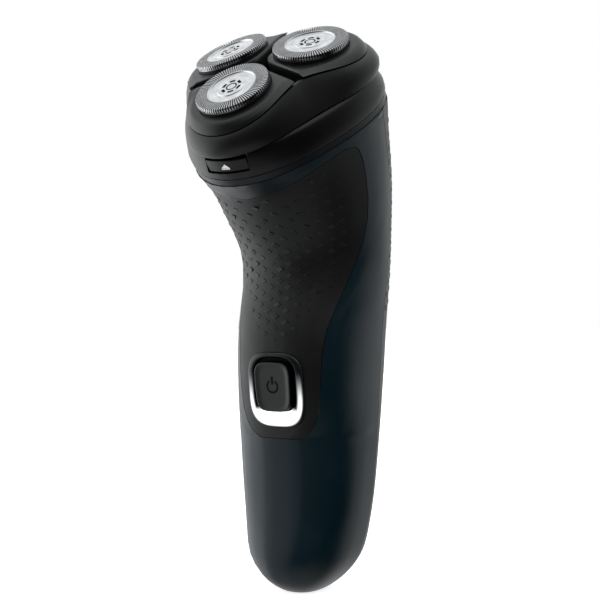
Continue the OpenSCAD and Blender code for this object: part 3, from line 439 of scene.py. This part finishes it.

# ---- power button: rounded edge, thin raised rim, dished face, an engraved sign, and side walls painted near-black as painted shade
power = dict(height=61.2, lean=7.7, drop=0.2, tall=14.4, proud=1.3, edge=0.22, rim=0.25, dish=0.16,
             dishEdge=0.3, hollow=0.04, hollowEdge=1.2, smooth=40,
             sign=dict(rise=0.4, radius=1.75, stroke=0.62, gap=32, bar=2.4, barCorner=0.2, thick=0.06,
                       sink=0.03))
lean = math.radians(power["lean"])
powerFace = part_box("power_button")[0][1] + ((power["drop"] + power["tall"] / 2) * math.sin(lean)
                                            + power["proud"] * math.cos(lean)) * mm
powerTurn = Matrix.Rotation(lean + math.pi / 2, 4, "X")
powerPlace = Matrix.Translation((0, powerFace, power["height"] * mm)) @ powerTurn
powerBack = powerPlace.inverted()
powerOut = powerPlace.to_3x3() @ Vector((0, 0, 1))

key = dressed["power_button"]


def keyFace(face):
    return face.normal.dot(powerOut) > 0.99 and (powerBack @ face.center).z > (power["proud"] - 0.05) * mm


editFaces(key, keyFace)
bpy.ops.mesh.dissolve_faces()
bpy.ops.mesh.select_mode(type="EDGE")
bpy.ops.mesh.bevel(offset=power["edge"] * mm, segments=5, affect="EDGES")
bpy.ops.object.mode_set(mode="OBJECT")
editFaces(key, keyFace)
bpy.ops.mesh.inset(thickness=power["rim"] * mm, depth=0)
bpy.ops.mesh.inset(thickness=power["dishEdge"] * mm, depth=-power["dish"] * mm)
bpy.ops.mesh.inset(thickness=power["hollowEdge"] * mm, depth=-power["hollow"] * mm)
bpy.ops.object.mode_set(mode="OBJECT")
# the side walls take the near-black bezel finish: painted shade of the dark recess round the button
paint(key, materials["bezel_black"], lambda face: abs(face.normal.dot(powerOut)) < 0.35)
activate(key)
bpy.ops.object.shade_smooth_by_angle(angle=math.radians(power["smooth"]))

sign = power["sign"]
signLevel = power["proud"] - power["dish"] - sign["sink"]
signInner = sign["radius"] - sign["stroke"] / 2
signOuter = sign["radius"] + sign["stroke"] / 2
bpy.ops.object.select_all(action="DESELECT")
bpy.ops.mesh.primitive_circle_add(vertices=72, radius=signInner * mm)
signRing = bpy.context.object
bpy.ops.object.mode_set(mode="EDIT")
bpy.ops.mesh.extrude_edges_move()
widen = signOuter / signInner
bpy.ops.transform.resize(value=(widen, widen, 1), center_override=(0, 0, 0))
bpy.ops.object.mode_set(mode="OBJECT")
editFaces(signRing, lambda face: abs(math.degrees(math.atan2(face.center.x, face.center.y))) < sign["gap"])
bpy.ops.mesh.delete(type="FACE")
bpy.ops.object.mode_set(mode="OBJECT")
bpy.ops.object.select_all(action="DESELECT")
bpy.ops.mesh.primitive_plane_add(size=1, location=(0, sign["radius"] * mm, 0))
signBar = bpy.context.object
bpy.ops.object.mode_set(mode="EDIT")
bpy.ops.transform.resize(value=(sign["stroke"] * mm, sign["bar"] * mm, 1))
bpy.ops.mesh.bevel(offset=sign["barCorner"] * mm, segments=4, affect="VERTICES")
bpy.ops.object.mode_set(mode="OBJECT")
activate(signRing)
signBar.select_set(True)
bpy.ops.object.join()
solid = signRing.modifiers.new("solid", "SOLIDIFY")
solid.thickness = sign["thick"] * mm
solid.offset = 1
bpy.ops.object.modifier_apply(modifier=solid.name)
signRing.name = "powerSign"
place(signRing, powerPlace @ Matrix.Translation((0, sign["rise"] * mm, signLevel * mm)))
signRing.data.materials.append(materials["bezel_black"])
finishPiece(signRing, "power_button")
print("power button")

# ---- light ring: raised frame that glows at the bottom and fades up its sides
ring = dict(half=(9.3, 11), drop=0.9, squareness=3.2, corner=8.8, profile=0.64, topReach=9.4, topDepth=3.4,
            # half width, half height, middle and level of each loop, from the outer foot to the bore
            loops=((9.3, 11, 0, -1.6), (9.3, 11, 0, -0.62), (9.16, 10.86, 0, -0.4), (8.9, 10.6, 0, -0.27),
                   (8.3, 9.9, 0.3, -0.12), (7.6, 8.75, 1.25, 0), (7.28, 8.35, 1.45, -0.08),
                   (7.1, 8.12, 1.5, -0.35), (7.08, 8.1, 1.5, -1.6)))
glow = dressed["light_ring"]


def ringTop(face):
    spot = powerBack @ face.center
    near = spot.z > -ring["topDepth"] * mm and abs(spot.x) < ring["topReach"] * mm
    return near and face.normal.dot(powerOut) > 0.7


editFaces(glow, ringTop)
bpy.ops.mesh.delete(type="FACE")
bpy.ops.object.mode_set(mode="OBJECT")

bpy.ops.object.select_all(action="DESELECT")
bpy.ops.mesh.primitive_plane_add(size=2, location=(0, 0, 0))
ringFace = bpy.context.object
ringFace.name = "ringFace"
foot = ring["loops"][0]
bpy.ops.object.mode_set(mode="EDIT")
bpy.ops.transform.resize(value=(foot[0] * mm, foot[1] * mm, 1))
bpy.ops.transform.translate(value=(0, 0, foot[3] * mm))
bpy.ops.mesh.bevel(offset=ring["corner"] * mm, segments=20, profile=ring["profile"], affect="VERTICES")
bpy.ops.mesh.select_all(action="SELECT")
bpy.ops.mesh.delete(type="ONLY_FACE")
bpy.ops.mesh.select_all(action="SELECT")
for before, after in zip(ring["loops"], ring["loops"][1:]):
    move = (0, (after[2] - before[2]) * mm, (after[3] - before[3]) * mm)
    bpy.ops.mesh.extrude_edges_move(TRANSFORM_OT_translate={"value": move})
    bpy.ops.transform.resize(value=(after[0] / before[0], after[1] / before[1], 1),
                             center_override=(0, after[2] * mm, 0))
bpy.ops.mesh.select_all(action="SELECT")
bpy.ops.mesh.normals_make_consistent(inside=False)
bpy.ops.object.mode_set(mode="OBJECT")
place(ringFace, powerPlace @ Matrix.Translation((0, -ring["drop"] * mm, 0)))
finishPiece(ringFace, "handle", "light_ring", smoothAngle=50)


def glowing():
    material, tree, shader = newMaterial("glowing")
    coords = tree.nodes.new("ShaderNodeTexCoord")

    def combine(operation, first, second):
        step = tree.nodes.new("ShaderNodeMath")
        step.operation = operation
        for socket, value in enumerate((first, second)):
            if isinstance(value, (int, float)):
                step.inputs[socket].default_value = value
            else:
                tree.links.new(value, step.inputs[socket])
        return step.outputs["Value"]

    def ease(value, start, end, first=0, last=1):
        step = tree.nodes.new("ShaderNodeMapRange")
        step.interpolation_type = "SMOOTHSTEP"
        for socket, number in (("From Min", start), ("From Max", end), ("To Min", first), ("To Max", last)):
            step.inputs[socket].default_value = number
        tree.links.new(value, step.inputs["Value"])
        return step.outputs["Result"]

    # the ring's own plane, so that its outline is at 1
    local = tree.nodes.new("ShaderNodeMapping")
    local.vector_type = "TEXTURE"
    local.inputs["Location"].default_value = powerPlace @ Vector((0, -ring["drop"] * mm, 0))
    local.inputs["Rotation"].default_value = (lean + math.pi / 2, 0, 0)
    local.inputs["Scale"].default_value = (ring["half"][0] * mm, ring["half"][1] * mm, mm)
    link(tree, coords, "Object", local, "Vector")
    split = tree.nodes.new("ShaderNodeSeparateXYZ")
    link(tree, local, "Vector", split, "Vector")
    x, y = split.outputs["X"], split.outputs["Y"]
    # a rounded square: 0 in the middle and 1 at the ring's outer edge
    powers = [combine("POWER", combine("ABSOLUTE", value, 0), ring["squareness"]) for value in (x, y)]
    reach = combine("POWER", combine("ADD", powers[0], powers[1]), 1 / ring["squareness"])
    fade = ease(y, -0.52, 0.58, 1, 0)
    outside = ease(reach, 0.93, 1, 1, 0)
    inside = combine("MAXIMUM", ease(reach, 0.78, 0.88), ease(y, -0.45, -0.6))
    level = combine("MULTIPLY", combine("MULTIPLY", combine("POWER", fade, 1.5), outside), inside)
    cloud = grain(tree, 400)
    body = shade(tree, cloud, (0.006, 0.007, 0.008), (0.009, 0.010, 0.011))
    tint = tree.nodes.new("ShaderNodeMix")
    tint.data_type = "RGBA"
    tree.links.new(level, tint.inputs["Factor"])
    link(tree, body, "Color", tint, "A")
    tint.inputs["B"].default_value = (0.85, 0.90, 0.93, 1)
    link(tree, tint, "Result", shader, "Base Color")
    tree.links.new(combine("MULTIPLY", level, 1.1), shader.inputs["Emission Strength"])
    shader.inputs["Emission Color"].default_value = (1, 1, 1, 1)
    link(tree, spread(tree, cloud, 0.24, 0.32), "Result", shader, "Roughness")
    return material


glow.data.materials[0] = glowing()
ringFace.data.materials.append(glow.data.materials[0])
print("light ring")

# ---- release button: softened edges and an eject sign
# glow is painted light: it makes the eject sign's white print shine a little, though the print is no lamp
release = dict(edge=0.3, front=-29.5, smooth=40, signX=-0.1, signLevel=-17.2, width=2.7, tall=1.15, bar=0.32,
               space=0.3, thick=0.1, glow=0.35)
latch = dressed["release_button"]
headBack = headTurn.inverted()


def latchFace(face):
    spot = headBack @ face.center
    return (headBack.to_3x3() @ face.normal).y < -0.7 and spot.y < release["front"] * mm


editFaces(latch, latchFace)
bpy.ops.mesh.region_to_loop()
bpy.ops.mesh.bevel(offset=release["edge"] * mm, segments=3, affect="EDGES")
bpy.ops.object.mode_set(mode="OBJECT")
activate(latch)
bpy.ops.object.shade_smooth_by_angle(angle=math.radians(release["smooth"]))

signWhite = moulded("signWhite", (0.88, 0.89, 0.90), (0.94, 0.95, 0.96), 0.5)
signPaintedGlow = signWhite.node_tree.nodes["Principled BSDF"]
# painted light: the white print is given a faint glow
signPaintedGlow.inputs["Emission Color"].default_value = (1, 1, 1, 1)
signPaintedGlow.inputs["Emission Strength"].default_value = release["glow"]
bpy.ops.object.select_all(action="DESELECT")
bpy.ops.mesh.primitive_circle_add(vertices=3, radius=1, fill_type="NGON")
ejectSign = bpy.context.object
bpy.ops.object.mode_set(mode="EDIT")
bpy.ops.transform.resize(value=(release["width"] / math.sqrt(3) * mm, release["tall"] / 1.5 * mm, 1),
                         center_override=(0, 0, 0))
bpy.ops.transform.translate(value=(0, (release["space"] + release["tall"] / 3) * mm, 0))
bpy.ops.mesh.select_all(action="DESELECT")
bpy.ops.mesh.primitive_plane_add(size=1, location=(0, 0, 0))
bpy.ops.transform.resize(value=(release["width"] * mm, release["bar"] * mm, 1))
bpy.ops.object.mode_set(mode="OBJECT")
solid = ejectSign.modifiers.new("solid", "SOLIDIFY")
solid.thickness = release["thick"] * mm
solid.offset = 0
bpy.ops.object.modifier_apply(modifier=solid.name)
ejectSign.name = "ejectSign"
bpy.context.view_layer.update()
outward = headTurn.to_3x3() @ Vector((0, -1, 0))
# found from well in front of the button, looking back at it
start = headTurn @ Vector((release["signX"] * mm, -0.05, release["signLevel"] * mm))
spot, normal = latch.ray_cast(start, -outward)[1:3]
across = Vector((1, 0, 0))
across = (across - normal * across.dot(normal)).normalized()
faceTurn = Matrix((across, normal.cross(across), normal)).transposed().to_4x4()
place(ejectSign, Matrix.Translation(spot) @ faceTurn)
ejectSign.data.materials.append(signWhite)
finishPiece(ejectSign, "release_button")
print("release button")

# ---- grip scales: flat diamond plates that rise towards the upper right
scales = dict(
    front=dict(node="front_grip", name="gripScales", low=75, high=121, pitch=3.4,
               columns=range(-7, 8), step=8.4, middle=0),
    back=dict(node="rear_cover", name="coverScales", low=84, high=140, pitch=3.9,
              columns=range(-8, 9), step=8.6, middle=180))
plate = dict(width=3.0, tall=2.05, rise=0.11, slant=0.8, sink=0.05, tilt=-3.2, roll=2.6, clear=2.6,
             backSize=1.05)
# how far round the throat the scales reach, in degrees, and how they shrink towards the edges of the field
field = dict(waist=98, widest=58, narrowest=14, shortRows=23, edgeSize=0.62, edgeFade=30, rowSize=0.55,
             rowFade=14)


def makePlate():
    bpy.ops.object.select_all(action="DESELECT")
    bpy.ops.mesh.primitive_circle_add(vertices=4, radius=1, fill_type="NGON", location=(0, 0, 0))
    piece = bpy.context.object
    bpy.ops.object.mode_set(mode="EDIT")
    bpy.ops.transform.resize(value=(plate["width"] / 2 * mm, plate["tall"] / 2 * mm, 1))
    bpy.ops.transform.translate(value=(0, 0, -plate["sink"] * mm))
    top = (0, 0, plate["rise"] * mm)
    lift = (0, 0, (plate["rise"] + plate["sink"]) * mm)
    bpy.ops.mesh.extrude_region_move(TRANSFORM_OT_translate={"value": lift})
    bpy.ops.transform.resize(value=(plate["slant"], plate["slant"], 1))
    bpy.ops.transform.rotate(value=math.radians(plate["tilt"]), orient_axis="X", center_override=top)
    bpy.ops.transform.rotate(value=math.radians(plate["roll"]), orient_axis="Y", center_override=top)
    bpy.ops.object.mode_set(mode="OBJECT")
    return piece


def axisAt(level):
    # the middle of the handle, front to back, at a few heights
    marks = ((41, 2.7), (61, 3.5), (79, 4.6), (93, 6.8), (105, 6.2), (117, 1.6), (129, -5.6), (140, -9))
    for (lowZ, lowY), (highZ, highY) in zip(marks, marks[1:]):
        if level <= highZ:
            break
    return (lowY + (highY - lowY) * (level - lowZ) / (highZ - lowZ)) * mm


def skinAt(piece, angle, level):
    # the outer face, found from 80 mm out; the ray stops short of the middle, so it meets no far wall
    around = Vector((math.sin(angle), -math.cos(angle), 0))
    middle = Vector((0, axisAt(level), level * mm))
    return piece.ray_cast(middle + around * 0.08, -around, distance=0.075)


def scaleSize(side, column, level):
    if side["middle"]:
        return plate["backSize"]
    turn = abs(column) * side["step"]
    reach = field["widest"]
    if level <= field["waist"]:
        widening = field["widest"] - field["narrowest"]
        reach = field["narrowest"] + (level - side["low"]) * widening / field["shortRows"]
    if turn > reach:
        return 0
    fromEdge = field["edgeSize"] + (reach - turn) / field["edgeFade"]
    fromFoot = field["rowSize"] + (level - side["low"] + 2) / field["rowFade"]
    return min(1, fromEdge, fromFoot)


limit = cadBox[1][1] - plate["rise"] * 3 * mm  # a scale further back would pass the solids' box
for side in scales.values():
    base = dressed[side["node"]]
    bpy.context.view_layer.update()
    copies = []
    model = makePlate()
    for column in side["columns"]:
        level = side["low"] + (side["pitch"] / 2 if column % 2 else 0)
        while level < side["high"]:
            size = scaleSize(side, column, level)
            angle = math.radians(side["middle"] + column * side["step"])
            hit, spot, normal = skinAt(base, angle, level)[:3]
            above = skinAt(base, angle, level + plate["clear"])[0]
            if hit and above and size and spot.y < limit:
                across = Vector((0, 0, 1)).cross(normal).normalized()
                upward = normal.cross(across)
                turn = Matrix((across, upward, normal)).transposed().to_4x4()
                copy = model.copy()
                copy.data = model.data.copy()
                bpy.context.collection.objects.link(copy)
                copy.matrix_world = Matrix.Translation(spot) @ turn @ Matrix.Diagonal((size, size, size, 1))
                copies.append(copy)
            level += side["pitch"]
    bpy.data.objects.remove(model)
    activate(copies[0])
    for copy in copies:
        copy.select_set(True)
    bpy.ops.object.join()
    bpy.ops.object.transform_apply(location=True, rotation=True, scale=True)
    copies[0].name = side["name"]
    copies[0].data.materials.append(materials[slotOf[side["node"]]])
    finishPiece(copies[0], "handle", smoothAngle=20)
    print(side["name"], len(copies))

# ---- camera, light and floor
view = dict(place=(0.21835, -0.3525, 0.08856), azimuth=31.99, elevation=0.30, lens=82.92)


def lookBack(azimuth, elevation):
    a, e = math.radians(azimuth), math.radians(elevation)
    return Vector((math.sin(a) * math.cos(e), -math.cos(a) * math.cos(e), math.sin(e)))


cameraData = bpy.data.cameras.new("viewCamera")
cameraData.sensor_width = 36
cameraData.lens = view["lens"]
camera = bpy.data.objects.new("viewCamera", cameraData)
bpy.context.collection.objects.link(camera)
camera.location = view["place"]
camera.rotation_mode = "QUATERNION"
camera.rotation_quaternion = (-lookBack(view["azimuth"], view["elevation"])).to_track_quat("-Z", "Y")
bpy.context.scene.camera = camera

# large soft lamps for matt surfaces only; glossy ones mirror the room below
lamps = dict(
    frontFill=dict(azimuth=32, elevation=20, distance=1, size=(1, 1), watts=6),
    rearFill=dict(azimuth=212, elevation=20, distance=1, size=(1, 1), watts=4),
)
for name, lamp in lamps.items():
    data = bpy.data.lights.new(name, "AREA")
    data.shape = "RECTANGLE"
    data.size, data.size_y = lamp["size"]
    data.energy = lamp["watts"]
    light = bpy.data.objects.new(name, data)
    bpy.context.collection.objects.link(light)
    back = lookBack(lamp["azimuth"], lamp["elevation"])
    light.location = Vector((0, 0, 0.09)) + back * lamp["distance"]
    light.rotation_mode = "QUATERNION"
    light.rotation_quaternion = (-back).to_track_quat("-Z", "Y")
    light.visible_glossy = False

world = bpy.data.worlds.new("studio")
bpy.context.scene.world = world
world.use_nodes = True
tree = world.node_tree
for old in list(tree.nodes):
    tree.nodes.remove(old)
output = tree.nodes.new("ShaderNodeOutputWorld")
path = tree.nodes.new("ShaderNodeLightPath")
seen = tree.nodes.new("ShaderNodeBackground")
seen.inputs["Color"].default_value = (1, 1, 1, 1)
coords = tree.nodes.new("ShaderNodeTexCoord")


def glowFrom(direction, start, end, strength):
    # brightness that rises towards one side of the room
    facing = tree.nodes.new("ShaderNodeVectorMath")
    facing.operation = "DOT_PRODUCT"
    facing.inputs[1].default_value = direction
    link(tree, coords, "Generated", facing, 0)
    rise = tree.nodes.new("ShaderNodeMapRange")
    rise.interpolation_type = "SMOOTHSTEP"
    rise.inputs["From Min"].default_value = start
    rise.inputs["From Max"].default_value = end
    rise.inputs["To Max"].default_value = strength
    link(tree, facing, "Value", rise, "Value")
    return rise


# seen from the camera, pale at the left, behind, behind to the right, overhead and below, and dark elsewhere
panels = (
    dict(direction=lookBack(-84, 0), start=0.5, end=1, strength=2.1),
    dict(direction=lookBack(212, 0), start=0.1, end=0.9, strength=1.1),
    dict(direction=lookBack(155, 10), start=0.45, end=1, strength=0.7),
    dict(direction=(0, 0, 1), start=0.25, end=0.85, strength=1),
    dict(direction=lookBack(-30, -75), start=0.5, end=1, strength=0.5))
room = None
for panel in panels:
    lobe = glowFrom(**panel)
    if room:
        joined = tree.nodes.new("ShaderNodeMath")
        joined.operation = "MAXIMUM"
        link(tree, room, 0, joined, 0)
        link(tree, lobe, 0, joined, 1)
        room = joined
    else:
        room = lobe
ambient = tree.nodes.new("ShaderNodeBackground")
ambient.inputs["Color"].default_value = (0.97, 0.99, 1, 1)
link(tree, room, 0, ambient, "Strength")
mixer = tree.nodes.new("ShaderNodeMixShader")
link(tree, path, "Is Camera Ray", mixer, "Fac")
tree.links.new(ambient.outputs[0], mixer.inputs[1])
tree.links.new(seen.outputs[0], mixer.inputs[2])
tree.links.new(mixer.outputs[0], output.inputs["Surface"])

bpy.ops.object.select_all(action="DESELECT")
bpy.ops.mesh.primitive_circle_add(vertices=96, radius=3, fill_type="NGON", location=(0, 0, -0.0002))
floor = bpy.context.object
floor.name = "floor"
floorMaterial, tree, shader = newMaterial("paleFloor")
shader.inputs["Roughness"].default_value = 0.9
path = tree.nodes.new("ShaderNodeLightPath")
lift = tree.nodes.new("ShaderNodeMath")
lift.operation = "MULTIPLY"
lift.inputs[1].default_value = 0.8
link(tree, path, "Is Camera Ray", lift, 0)
link(tree, lift, "Value", shader, "Emission Strength")
pale = tree.nodes.new("ShaderNodeMix")
pale.data_type = "RGBA"
pale.inputs["A"].default_value = (0.03, 0.03, 0.03, 1)
pale.inputs["B"].default_value = (0.8, 0.8, 0.8, 1)
link(tree, path, "Is Camera Ray", pale, "Factor")
link(tree, pale, "Result", shader, "Base Color")
shader.inputs["Emission Color"].default_value = (1, 1, 1, 1)
floor.data.materials.append(floorMaterial)
floor.visible_glossy = False
print("stage")

bpy.context.scene.view_settings.view_transform = "Standard"
bpy.context.view_layer.update()
